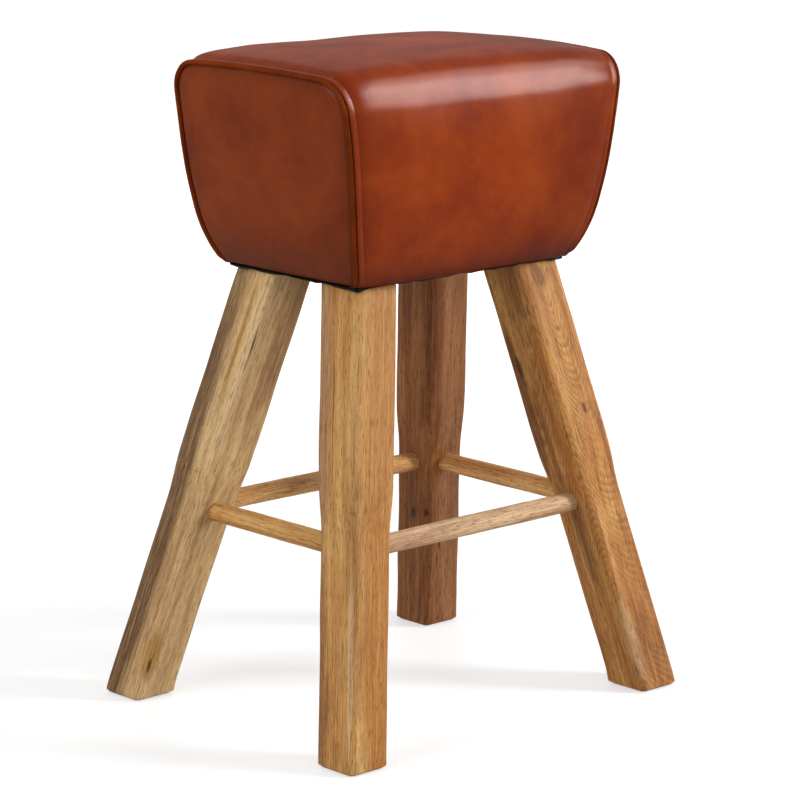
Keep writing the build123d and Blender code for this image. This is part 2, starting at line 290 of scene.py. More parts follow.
class Nodes:
    """A node tree, built up by short calls."""

    def __init__(self, tree):
        self.tree = tree

    def put(self, socket, value):
        if isinstance(value, bpy.types.NodeSocket):
            self.tree.links.new(value, socket)
        elif value is not None:
            if socket.type == "RGBA" and len(value) == 3:
                value = (*value, 1)
            socket.default_value = value

    def node(self, kind, out, settings=(), **inputs):
        node = self.tree.nodes.new("ShaderNode" + kind)
        for key, value in dict(settings).items():
            setattr(node, key, value)
        for key, value in inputs.items():
            self.put(node.inputs[key.replace("_", " ")], value)
        return node.outputs[out]

    def math(self, operation, first, second=None, third=None, clamp=False):
        node = self.tree.nodes.new("ShaderNodeMath")
        node.operation = operation
        node.use_clamp = clamp
        for socket, value in zip(node.inputs, (first, second, third)):
            self.put(socket, value)
        return node.outputs[0]

    def plus(self, first, second):
        return self.math("ADD", first, second)

    def minus(self, first, second):
        return self.math("SUBTRACT", first, second)

    def times(self, first, second, clamp=False):
        return self.math("MULTIPLY", first, second, clamp=clamp)

    def vector(self, operation, first, second=None, out="Vector"):
        node = self.tree.nodes.new("ShaderNodeVectorMath")
        node.operation = operation
        self.put(node.inputs[0], first)
        if operation == "SCALE":
            self.put(node.inputs["Scale"], second)
        else:
            self.put(node.inputs[1], second)
        return node.outputs[out]

    def mapped(self, vector, location=(0, 0, 0), rotation=(0, 0, 0), scale=(1, 1, 1)):
        node = self.tree.nodes.new("ShaderNodeMapping")
        self.put(node.inputs["Vector"], vector)
        node.inputs["Location"].default_value = location
        node.inputs["Rotation"].default_value = rotation
        node.inputs["Scale"].default_value = scale
        return node.outputs[0]

    def noise(self, vector, scale, detail=2.0, roughness=0.5, distortion=0.0, out="Fac"):
        return self.node("TexNoise", out, Vector=vector, Scale=scale, Detail=detail,
                         Roughness=roughness, Distortion=distortion)

    def step(self, value, low, high, to_low=0.0, to_high=1.0, kind="SMOOTHSTEP"):
        node = self.tree.nodes.new("ShaderNodeMapRange")
        node.interpolation_type = kind
        for key, item in (("Value", value), ("From Min", low), ("From Max", high),
                          ("To Min", to_low), ("To Max", to_high)):
            self.put(node.inputs[key], item)
        return node.outputs[0]

    def ramp(self, factor, *stops):
        node = self.tree.nodes.new("ShaderNodeValToRGB")
        self.put(node.inputs[0], factor)
        elements = node.color_ramp.elements
        while len(elements) < len(stops):
            elements.new(0.5)
        for element, (position, colour) in zip(elements, stops):
            element.position = position
            element.color = (*colour, 1)
        return node.outputs[0]

    def mix(self, factor, first, second, blend="MIX"):
        node = self.tree.nodes.new("ShaderNodeMix")
        node.data_type = "RGBA"
        node.blend_type = blend
        for number, value in ((0, factor), (6, first), (7, second)):
            self.put(node.inputs[number], value)
        return node.outputs[2]

    def tint(self, colour, value, low, high, strength, tone):
        """A colour drawn towards a tone where a value lies past low, fully so from high on."""
        return self.mix(self.step(value, low, high, 0, strength), colour, tone)

    def ray(self, *kinds):
        """1 for rays of any of these kinds."""
        found = 0.0
        for kind in kinds:
            found = self.math("MAXIMUM", self.node("LightPath", "Is %s Ray" % kind), found)
        return found


class Finish(Nodes):
    """A material of one surface."""

    def __init__(self, name):
        self.material = bpy.data.materials.new(name)
        self.material.use_nodes = True
        super().__init__(self.material.node_tree)
        self.surface = self.tree.nodes["Principled BSDF"]
        self.place = self.node("TexCoord", "Object")

    def stored(self, name):
        return self.node("Attribute", "Fac", {"attribute_name": name})

    def bump(self, height, distance, strength=1.0, under=None):
        return self.node("Bump", "Normal", Height=height, Distance=distance, Strength=strength,
                         Normal=under)

    def done(self, **inputs):
        for key, value in inputs.items():
            self.put(self.surface.inputs[key.replace("_", " ")], value)
        return self.material


def give(piece, material):
    """Puts one material on a piece."""
    piece.data.materials.clear()
    piece.data.materials.append(material)


def linear(red, green, blue):
    """A colour written as it looks on screen, from 0 to 255."""
    return tuple((c / 255 / 12.92) if c < 10.3 else ((c / 255 + 0.055) / 1.055) ** 2.4
                 for c in (red, green, blue))


# Materials
knot_width = 7 * mm
knot_height = 40 * mm


def leather_finish(name, tan, middle, dark, roughness, polish):
    """Burnished leather: mottled patches, darker at the seams and towards the bottom, with painted shade in
    the grooves and crease and, on the wrap, towards its far end, fine pores and scratches.
    """
    finish = Finish(name)
    place = finish.place
    patches = finish.noise(place, 11, detail=4, roughness=0.52, distortion=0.4)
    cloud = finish.noise(finish.mapped(place, location=(3, 7, 1)), 55, detail=5, roughness=0.65)
    tone = finish.plus(finish.times(patches, 0.72), finish.times(cloud, 0.28))
    colour = finish.ramp(tone, (0.33, dark), (0.49, middle), (0.65, tan))
    specks = finish.noise(place, 800, detail=3)
    colour = finish.tint(colour, specks, 0.55, 0.75, 0.16, tan)
    colour = finish.tint(colour, specks, 0.42, 0.28, 0.22, dark)
    pull = finish.stored("pull_up")
    colour = finish.mix(finish.times(pull, 0.4), colour, tuple(c * 1.2 for c in tan))
    uneven = finish.plus(finish.noise(place, 24, detail=4), 0.5)
    # The stored map darkens the leather: burnish at the seams, painted shade in grooves, creases and the
    # wrap's far end, and darker towards the bottom.
    burnish_and_painted_shade = finish.times(finish.stored("burnish_and_painted_shade"), uneven, clamp=True)
    colour = finish.mix(finish.times(burnish_and_painted_shade, 0.9), colour, tuple(c * 0.3 for c in dark))
    pores = finish.node("TexVoronoi", "Distance", {"feature": "F1"}, Vector=place, Scale=1300)
    grain = finish.plus(finish.times(pores, 0.6), finish.noise(place, 2400, detail=2))
    scratched = finish.mapped(place, rotation=(0.4, 0.3, 0.6), scale=(40, 700, 300))
    scratches = finish.step(finish.noise(scratched, 1, detail=2), 0.66, 0.76)
    normal = finish.bump(grain, 0.00005, 0.5)
    normal = finish.bump(scratches, 0.00006, 0.4, normal)
    normal = finish.bump(finish.noise(place, 60, detail=4, roughness=0.55), 0.0008, 0.3, normal)
    rough = finish.step(cloud, 0.3, 0.7, roughness + 0.1, roughness + 0.25)
    rough = finish.plus(rough, finish.times(scratches, 0.08))
    return finish.done(Base_Color=colour, Roughness=rough, Normal=normal, Coat_Normal=normal,
                       Specular_IOR_Level=0.0, Coat_Weight=polish, Coat_Roughness=roughness, Coat_IOR=1.5)


def marked(finish, colour, grain, ragged, marks):
    """Lays marks over a wood's colour, and says where they lie."""
    covered = 0.0
    for place, (wide, tall), mark_colour, strength, rough_edge in marks:
        away = finish.mapped(grain, location=tuple(-c for c in place))
        away = finish.mapped(away, scale=(1 / wide, 1 / wide, 1 / tall))
        reach = finish.plus(finish.vector("LENGTH", away, out="Value"), finish.times(ragged, rough_edge))
        shown = finish.step(reach, 0.55, 1.1, strength, 0)
        colour = finish.mix(shown, colour, mark_colour)
        covered = finish.math("MAXIMUM", shown, covered)
    return colour, covered


def wood_finish(name, tones, seed, lean=(0, 0, 0, 0), order="XYZ", pith=(0.03, 0.05, 0, 0), rings=400,
                ring_depth=0.2, marks=()):
    """Oiled mango wood. Its grain runs along a leg or rail, with faint rings round a leaning pith,
    short dark pores and patches of other tones. Each mark is a streak, stain, knot or crack at a
    place on the piece: (across, along, height), its half sizes, a colour, how strongly it shows,
    and how ragged its edge is."""
    finish = Finish(name)
    x, y, z = (finish.node("SeparateXYZ", axis, Vector=finish.place) for axis in order)
    u = finish.minus(x, finish.plus(finish.times(z, lean[2]), lean[0]))
    v = finish.minus(y, finish.plus(finish.times(z, lean[3]), lean[1]))
    grain = finish.node("CombineXYZ", "Vector", X=u, Y=v, Z=z)
    seeded = finish.mapped(grain, location=(seed, 2 * seed, 0.7 * seed))

    def grained(stretch, scale, roughness, detail=4):
        """Noise drawn out along the grain."""
        return finish.noise(finish.mapped(seeded, scale=(1, 1, stretch)), scale, detail, roughness)

    wander = finish.noise(finish.mapped(seeded, scale=(1, 1, 0.22)), 16, detail=4, out="Color")
    wander = finish.vector("SCALE", finish.vector("SUBTRACT", wander, (0.5, 0.5, 0.5)), 0.012)
    centre = finish.node("CombineXYZ", "Vector",
                         X=finish.math("MULTIPLY_ADD", z, pith[2], pith[0]),
                         Y=finish.math("MULTIPLY_ADD", z, pith[3], pith[1]), Z=z)
    across = finish.vector("SUBTRACT", finish.vector("ADD", grain, wander), centre)
    reach = finish.vector("LENGTH", finish.mapped(across, scale=(1, 1, 0)), out="Value")
    band = finish.math("FRACT", finish.times(reach, rings))
    late = finish.times(finish.step(band, 0.1, 0.8), finish.step(band, 0.86, 1.0, 1, 0))
    late = finish.times(late, finish.step(finish.noise(seeded, 30), 0.35, 0.6, 0.3, 1))
    light, middle, dark, deep = tones
    bands = finish.noise(finish.mapped(finish.vector("ADD", seeded, wander), scale=(1, 1, 0.05)), 80,
                         detail=4, roughness=0.65)
    patches = grained(0.25, 22, 0.6)
    tone = finish.plus(finish.times(bands, 0.55), finish.times(patches, 0.45))
    colour = finish.ramp(tone, (0.38, dark), (0.49, middle), (0.6, light))
    colour = finish.mix(finish.times(late, ring_depth), colour, deep)
    ragged = finish.minus(grained(0.12, 130, 0.6), 0.5)
    knots = [mark for mark in marks if mark[1][0] < knot_width and mark[1][1] < knot_height]
    stains = [mark for mark in marks if mark not in knots]
    colour = marked(finish, colour, grain, ragged, stains)[0]
    streaks = grained(0.022, 330, 0.65)
    colour = finish.tint(colour, streaks, 0.5, 0.64, 0.42, dark)
    colour = finish.tint(colour, streaks, 0.49, 0.35, 0.36, light)
    fibres = grained(0.03, 800, 0.7)
    colour = finish.tint(colour, fibres, 0.52, 0.66, 0.34, dark)
    colour = finish.tint(colour, fibres, 0.47, 0.34, 0.3, light)
    pores = finish.step(grained(0.075, 1000, 0.6, detail=2), 0.54, 0.65)
    colour = finish.mix(finish.times(pores, 0.62), colour, deep)
    colour, hollows = marked(finish, colour, grain, ragged, knots)
    dips = finish.plus(pores, hollows)
    normal = finish.bump(finish.times(dips, -1), 0.0003, 0.6)
    normal = finish.bump(grained(0.25, 110, 0.5), 0.0008, 0.3, normal)
    rough = finish.step(fibres, 0.3, 0.7, 0.5, 0.64)
    return finish.done(Base_Color=colour, Roughness=rough, Normal=normal, Specular_IOR_Level=0.1)


def plain_board_finish(name, light, dark, stretch, scale):
    """Sawn softwood or plywood hidden in the seat: soft streaks and a dull surface."""
    finish = Finish(name)
    streaks = finish.noise(finish.mapped(finish.place, scale=stretch), scale, detail=4, roughness=0.6)
    fuzz = finish.noise(finish.place, 700, detail=3)
    colour = finish.ramp(streaks, (0.35, dark), (0.65, light))
    normal = finish.bump(fuzz, 0.0002, 0.5)
    return finish.done(Base_Color=colour, Roughness=finish.step(streaks, 0.3, 0.7, 0.6, 0.8), Normal=normal)


def zinc_finish():
    """Zinc-plated steel of the screws, washers and staples."""
    finish = Finish("zinc-plated steel")
    spangle = finish.noise(finish.place, 260, detail=4)
    colour = finish.ramp(spangle, (0.3, linear(150, 152, 156)), (0.7, linear(192, 194, 196)))
    normal = finish.bump(finish.noise(finish.place, 900, detail=3), 0.00004, 0.6)
    return finish.done(Base_Color=colour, Metallic=1.0, Normal=normal,
                       Roughness=finish.step(spangle, 0.3, 0.7, 0.28, 0.45))


def black_cloth_finish():
    """Black lining cloth: a fine plain weave with a faint sheen, dusty in places."""
    finish = Finish("black lining cloth")
    x = finish.node("SeparateXYZ", "X", Vector=finish.place)
    y = finish.node("SeparateXYZ", "Y", Vector=finish.place)
    warp = finish.math("SINE", finish.times(x, 6280))
    weft = finish.math("SINE", finish.times(y, 6280))
    weave = finish.times(warp, weft)
    dust = finish.noise(finish.place, 50, detail=5, roughness=0.6)
    colour = finish.ramp(dust, (0.45, linear(8, 8, 8)), (0.75, linear(24, 22, 21)))
    normal = finish.bump(weave, 0.0001, 0.5)
    normal = finish.bump(finish.noise(finish.place, 160, detail=4), 0.0006, 0.4, normal)
    return finish.done(Base_Color=colour, Normal=normal, Specular_IOR_Level=0.1,
                       Roughness=finish.step(weave, -1, 1, 0.5, 0.65))


def foam_finish():
    """Cream upholstery foam with open cells."""
    finish = Finish("seat foam")
    cells = finish.node("TexVoronoi", "Distance", {"feature": "F1"}, Vector=finish.place, Scale=650)
    patches = finish.noise(finish.place, 12, detail=3)
    colour = finish.ramp(patches, (0.35, linear(214, 196, 150)), (0.65, linear(232, 220, 184)))
    colour = finish.tint(colour, cells, 0.4, 0.1, 0.3, linear(170, 146, 98))
    return finish.done(Base_Color=colour, Normal=finish.bump(cells, 0.0005, 0.7),
                       Roughness=finish.step(cells, 0, 0.6, 0.8, 0.95))


# Leather wrap
wrap_rows = 230
wrap_middle_step = 6 * mm
seam_stations = np.array([0, 1.2, 2.2, 2.8, 3.3, 3.9, 4.6, 5.6, 7, 8.6, 10.2, 11.4, 12.3, 13, 13.7,
                          14.6, 16, 18, 20.5, 23.5, 27, 31, 36, 42, 48]) * mm


def seam_profile(distance):
    """Height of the leather beside the piping: tucked under it, a lip, a strip and a soft step."""
    tucked = -tuck_depth + (lip_height + tuck_depth) * between(distance, tuck_width, lip_width)
    rounded = 0.35 * mm * between(distance, lip_width, 8 * mm)
    step = strip_step * bell(distance, strip_width, 1.2 * mm)
    return tucked + rounded - step


def wrap_height(xs, distance, top_share, low):
    """How far the stuffed wrap stands over the line of the piping."""
    target = wrap_side_height + (wrap_top_height - wrap_side_height) * top_share
    left_length = 20 * mm - 5 * mm * top_share
    right_length = 20 * mm + 24 * mm * top_share
    length = np.where(xs < 0, left_length, right_length)
    free = np.maximum(distance - stuffing_start, 0)
    swell = (1 - np.exp(-free / length)) * between(distance, 8 * mm, 22 * mm)
    return seam_profile(distance) + (target - lip_height) * swell * (0.4 + 0.6 * low)


def puckers(points, outward, distance):
    """Small gathers in the leather beside the piping, deepest at the shoulders."""
    shoulder = np.clip(1 - np.abs(outward[:, 2] - 0.6) / 0.4, 0, 1)
    along = np.arctan2(outward[:, 2], np.abs(outward[:, 1])) * 46 * mm
    wobble = wrinkle(points, 26 * mm, 9.1)
    slant = distance * (0.8 + 0.4 * np.sign(points[:, 0]))
    waves = np.sin((along + slant) / (1.15 * mm) + 4.0 * wobble)
    fade = np.exp(-np.maximum(distance - 6 * mm, 0) / (9 * mm)) * between(distance, 4.4 * mm, 6 * mm)
    return 0.2 * mm * waves * fade * shoulder * np.clip(0.7 + wobble, 0, 1.3)


def filled_cover(points, faces, held, cap):
    """How a cover's points move when foam presses it out: a cloth simulation, held where held is 1.

    No point moves further than cap."""
    piece = make_piece("cover being filled", points, faces)
    group = piece.vertex_groups.new(name="held")
    for number, share in enumerate(held):
        group.add([number], float(share), "REPLACE")
    only(piece)
    cloth = piece.modifiers.new("Cloth", "CLOTH")
    cloth.settings.vertex_group_mass = "held"
    cloth.settings.uniform_pressure_force = 4
    cloth.settings.use_pressure = True
    cloth.settings.effector_weights.gravity = 0
    cloth.settings.shrink_min = 0.002
    cloth.settings.tension_stiffness = 40
    cloth.settings.compression_stiffness = 40
    cloth.settings.bending_stiffness = 4
    for step in range(1, 21):
        bpy.context.scene.frame_set(step)
    bpy.ops.object.modifier_apply(modifier=cloth.name)
    filled = np.empty(len(points) * 3)
    piece.data.vertices.foreach_get("co", filled)
    bpy.data.objects.remove(piece)
    bpy.context.scene.frame_set(1)
    moved = filled.reshape(-1, 3) - points
    length = np.linalg.norm(moved, axis=1)[:, None]
    return moved * np.minimum(1, cap / np.maximum(length, 1e-9))


def evened(moves, turns):
    """A grid's movement with its small bumps smoothed out, as taut leather has none."""
    for turn in range(turns):
        edged = np.pad(moves, ((1, 1), (1, 1), (0, 0)), mode="edge")
        moves = (2 * moves + edged[:-2, 1:-1] + edged[2:, 1:-1] + edged[1:-1, :-2] + edged[1:-1, 2:]) / 6
    return moves


def pressed_out(points, shape, few_rows, few_columns, held, cap):
    """How a leather cover's grid of points moves when filled, found on a few rows and columns."""
    few_shape = (len(few_rows), len(few_columns))
    coarse = points.reshape(*shape, 3)[few_rows][:, few_columns].reshape(-1, 3)
    held = held.reshape(shape)[few_rows][:, few_columns].ravel()
    moves = filled_cover(coarse, grid_faces(*few_shape), held, cap)
    moves = evened(moves.reshape(*few_shape, 3), 14) * (1 - held).reshape(*few_shape, 1)
    for axis, few in ((0, few_rows), (1, few_columns)):
        moves = np.apply_along_axis(lambda line: np.interp(np.arange(shape[axis]), few, line), axis, moves)
    return evened(moves, 4).reshape(-1, 3)


def wrap_piece():
    """The leather panel that goes up the front, over the top and down the back."""
    rim = rim_line(piping_radius, wrap_rows)
    rows = [(y, z, ny, nz, 1.0) for (y, z), (ny, nz) in zip(rim, line_normals(rim))]
    first, last = rows[0], rows[-1]
    under_front, under_back = [], []
    for share in (1.0, 0.7, 0.4, 0.15):
        under_front.append((first[0] + hem_width * share, seat_bottom + hem_gap, 0, -1, 0.0))
        under_back.append((last[0] - hem_width * share, seat_bottom + hem_gap, 0, -1, 0.0))
    rows = under_front + rows + under_back[::-1]
    table = np.array(rows)
    inner = np.arange(seam_stations[-1] + wrap_middle_step, half_length, wrap_middle_step)
    grid = []
    for y, z, ny, nz, full in rows:
        reach = float(end_reach(y, z)) - piping_radius
        scale = (reach - seam_stations[-1]) / (inner[-1] + wrap_middle_step - seam_stations[-1])
        stations = np.concatenate([seam_stations, seam_stations[-1] + (inner - seam_stations[-1]) * scale])
        xs = np.concatenate([stations - reach, [0], reach - stations[::-1]])
        distance = reach - np.abs(xs)
        height = full * wrap_height(xs, distance, float(between(nz, 0.2, 1.0)),
                                    float(between(z - seat_bottom, 0, 60 * mm)))
        grid.append(np.column_stack([xs, y + ny * height, z + nz * height, distance]))
    columns = len(xs)
    grid = np.array(grid)
    points, distance = grid[:, :, :3].reshape(-1, 3), grid[:, :, 3].ravel()
    outward = np.repeat(table[:, [4, 2, 3]] * (0, 1, 1), columns, axis=0)
    full = np.repeat(table[:, 4], columns)
    waves = wrinkle(points, 80 * mm, 3.7) * 0.8 * mm * full * between(distance, 4 * mm, 30 * mm)
    points += outward * waves[:, None]
    beside_seam = np.array([0, 6, 10, 14, 18, 21])
    few_columns = np.unique([*beside_seam, *range(24, columns - 24), *(columns - 1 - beside_seam)])
    free_rows = table[:, 4] * between(table[:, 1] - seat_bottom, 0, 25 * mm)
    held = 1 - between(distance, 12 * mm, 30 * mm) * np.repeat(free_rows, columns)
    points += pressed_out(points, (len(rows), columns), every(3, len(rows)), few_columns, held, 2.2 * mm)
    points += outward * puckers(points, outward, distance)[:, None]
    height = points[:, 2] - seat_bottom
    piece = make_piece("leather_wrap_panel", points, grid_faces(len(rows), columns))
    # Darkening map: beside the piping it is burnish plus painted shade of the groove, the dip at the seam
    # strip is painted crease shade, it grows darker towards the bottom, and the far (+X) end carries painted
    # shade where the light falls off.
    edge = np.where(distance < 3.6 * mm, 0.6, 0.5 * np.exp(-(distance - 4 * mm) / (20 * mm)))
    edge -= 0.3 * bell(distance, 8 * mm, 3.4 * mm)
    painted_crease_shade = 0.3 * bell(distance, strip_width, 1.1 * mm)
    low = 0.85 * np.exp(-height / (24 * mm)) + 0.33 * between(points[:, 0], 20 * mm, 175 * mm)
    put_attribute(piece, "burnish_and_painted_shade", np.clip(np.maximum(edge + painted_crease_shade, low), 0, 1))
    put_attribute(piece, "pull_up", bell(distance, 4.6 * mm, 0.6 * mm)
                  + 0.3 * bell(distance, 8.5 * mm, 2.6 * mm))
    apply_modifier(piece, "SOLIDIFY", thickness=leather, offset=-1)
    smooth(piece)
    return piece


# Leather ends
end_rows = 90
end_columns = 100


def end_piece(name, sign):
    """One end panel inside the piping: a shallow dome with soft edges, turned under at its foot."""
    rim = rim_line(2 * piping_radius - 0.3 * mm, 400)
    split = [int(400 * share) for share in (0.305, 0.695)]
    up = 1 - (1 - np.linspace(0, 1, end_rows)) ** 1.25
    across = np.linspace(0, 1, end_columns)
    across = across - 0.05 * np.sin(2 * np.pi * across)
    left, right = resample(rim[:split[0] + 1], 200), resample(rim[split[1]:][::-1], 200)
    top, bottom = resample(rim[split[0]:split[1] + 1], 200), resample([rim[0], rim[-1]], 200)
    even = np.linspace(0, 1, 200)
    left, right = (np.column_stack([np.interp(up, even, c) for c in line.T]) for line in (left, right))
    top, bottom = (np.column_stack([np.interp(across, even, c) for c in line.T]) for line in (top, bottom))
    u, v = across[None, :, None], up[:, None, None]
    flat = ((1 - v) * bottom + v * top + (1 - u) * left[:, None] + u * right[:, None]
            - ((1 - u) * (1 - v) * bottom[0] + u * (1 - v) * bottom[-1]
               + (1 - u) * v * top[0] + u * v * top[-1]))
    y, z = flat[:, :, 0].ravel(), flat[:, :, 1].ravel()
    gap = np.min(np.hypot(y[:, None] - rim[None, ::2, 0], z[:, None] - rim[None, ::2, 1]), axis=1)
    foot = between(z - seat_bottom, -4 * mm, 45 * mm)
    x = end_reach(y, z) - piping_radius - 2.7 * mm
    x += 3.3 * mm * between(gap, 0, 6 * mm)
    x += 3.6 * mm * (1 - np.exp(-np.maximum(gap - 4 * mm, 0) / (26 * mm))) * foot
    points = np.column_stack([x, y, z])
    points[:, 0] += wrinkle(points, 75 * mm, 5.3 + sign) * 0.8 * mm * between(gap, 3 * mm, 25 * mm)
    held = 1 - between(gap, 5 * mm, 25 * mm) * between(z - seat_bottom, 0, 25 * mm)
    points += pressed_out(points, (end_rows, end_columns), every(2, end_rows), every(2, end_columns),
                          held, 2 * mm)
    hem = []
    for share in (1.0, 0.6, 0.2):
        hem_x = end_reach(bottom[:, 0], bottom[:, 1]) - 1.5 * piping_radius - hem_width * share
        hem.append(np.column_stack([hem_x, bottom[:, 0], bottom[:, 1] + hem_gap]))
    points = np.vstack(hem + [points]) * (sign, 1, 1)
    faces = grid_faces(end_rows + 3, end_columns)
    if sign < 0:
        faces = [face[::-1] for face in faces]
    piece = make_piece(name, points, faces)
    gap = np.concatenate([np.zeros(3 * end_columns), gap])
    height = points[:, 2] - seat_bottom
    # Darkening map: burnish and painted shade where the panel dips to the groove at the piping, and darker
    # towards the bottom.
    put_attribute(piece, "burnish_and_painted_shade", np.maximum(0.65 * np.exp(-gap / (9 * mm)),
                                               0.75 * np.exp(-height / (34 * mm))))
    put_attribute(piece, "pull_up", 0.3 * bell(gap, 6 * mm, 2 * mm))
    apply_modifier(piece, "SOLIDIFY", thickness=leather, offset=-1)
    smooth(piece)
    return piece


# Piping
def piping_piece(name, sign):
    """Leather cord sewn along the rim of an end, a little uneven as hand work is."""
    rim = rim_line(piping_radius, 420)
    xs = sign * (end_reach(rim[:, 0], rim[:, 1]) - piping_radius)
    line = np.column_stack([xs, rim])
    around = 14
    tangents = np.gradient(line, axis=0)
    tangents /= np.linalg.norm(tangents, axis=1)[:, None]
    outward = np.column_stack([np.zeros(len(line)), line_normals(rim)])
    aside = np.cross(tangents, outward)
    thick = piping_radius * (1 + 0.06 * wrinkle(line, 12 * mm, 1.9))
    vertices = []
    for place, out, side, radius in zip(line, outward, aside, thick):
        low = 1 - float(between(place[2] - seat_bottom, 0, 9 * mm))
        radius *= 1 - 0.35 * low
        place = place - out * 1.6 * mm * low - (sign * mm * low, 0, 0)
        for turn in range(around):
            angle = 2 * math.pi * turn / around
            point = place + radius * (math.cos(angle) * out + math.sin(angle) * side)
            vertices.append((point[0], point[1], max(point[2], seat_bottom + 0.3 * mm)))
    faces = [(r * around + c, r * around + (c + 1) % around, (r + 1) * around + (c + 1) % around,
              (r + 1) * around + c) for r in range(len(line) - 1) for c in range(around)]
    faces.append(tuple(range(around))[::-1])
    faces.append(tuple(range((len(line) - 1) * around, len(line) * around)))
    piece = make_piece(name, vertices, faces)
    face_outward(piece)
    put_attribute(piece, "burnish_and_painted_shade", np.full(len(vertices), 0.35))
    put_attribute(piece, "pull_up", np.full(len(vertices), 0.2))
    smooth(piece)
    return piece


# Foam
board_half = (166 * mm, 111 * mm)
box_lean = (38 * mm, 21 * mm)
box_heights = (546.5 * mm, 732 * mm)
foam_clear = 0.3 * mm


def box_half(height, axis):
    """Half size of the wooden box inside the seat at a height."""
    share = np.clip((height - box_heights[0]) / (box_heights[1] - box_heights[0]), 0, 1)
    return board_half[axis] + box_lean[axis] * share


def pad_between(name, outer, inner):
    """A closed foam pad between two grids of points of the same shape."""
    rows, columns = outer.shape[:2]
    points = np.vstack([outer.reshape(-1, 3), inner.reshape(-1, 3)])
    count = rows * columns
    faces = grid_faces(rows, columns)
    faces += [tuple(count + v for v in face[::-1]) for face in faces]
    ring = grid_edge(rows, columns)
    faces += [(a, count + a, count + b, b) for a, b in zip(ring, ring[1:] + ring[:1])]
    piece = make_piece(name, points, faces)
    face_outward(piece, join=0.1 * mm)
    smooth(piece, 40)
    return piece


def foam_wrap_piece():
    """Foam over the front, top and back of the box."""
    under = piping_radius + leather + 1.2 * mm
    rim = rim_line(under, 120)
    normals = line_normals(rim)
    outer, inner = [], []
    for (y, z), (ny, nz) in zip(rim, normals):
        half = float(box_half(z, 0))
        xs = np.linspace(-half, half, 60)
        top_share = float(between(nz, 0.2, 1.0))
        rise = (5.5 * mm + 4.5 * mm * top_share) * float(between(z - seat_bottom, 0, 60 * mm))
        low = (float(end_reach(y, z)) - piping_radius) - np.abs(xs)
        height = rise * (1 - np.exp(-np.maximum(low - 9 * mm, 0) / (40 * mm))) - 0.6 * mm
        outer.append(np.column_stack([xs, y + ny * height, np.maximum(z + nz * height, leg_top)]))
        limit = float(box_half(z, 1)) + foam_clear
        lid = box_heights[1] + 12 * mm + foam_clear
        inner.append(np.column_stack([xs, np.full(60, np.clip(y, -limit, limit)),
                                      np.full(60, min(max(z, leg_top), lid))]))
    return pad_between("foam_over_box", np.array(outer), np.array(inner))


def foam_end_piece(name, sign):
    """A foam pad between an end of the box and the leather end."""
    rim = rim_line(7.5 * mm, 100)
    half = len(rim) // 2
    left, right = rim[:half], rim[half:][::-1]
    outer, inner = [], []
    for (y0, z0), (y1, z1) in zip(left, right):
        ys, zs = np.linspace(y0, y1, 40), np.maximum(np.linspace(z0, z1, 40), leg_top)
        face = end_reach(ys, zs) - 2 * piping_radius - leather - 1.5 * mm
        outer.append(np.column_stack([sign * face, ys, zs]))
        inner.append(np.column_stack([sign * (box_half(zs, 0) + foam_clear), ys, zs]))
    return pad_between(name, np.array(outer), np.array(inner))


# Lining cloth under the seat
cloth_half = (170.5 * mm, 111.5 * mm)
cloth_level = seat_bottom - 0.6 * mm
cut_back = 5 * mm
staple_inset = 9 * mm
staple_leg = 2.2 * mm
staple_drop = 3.9 * mm


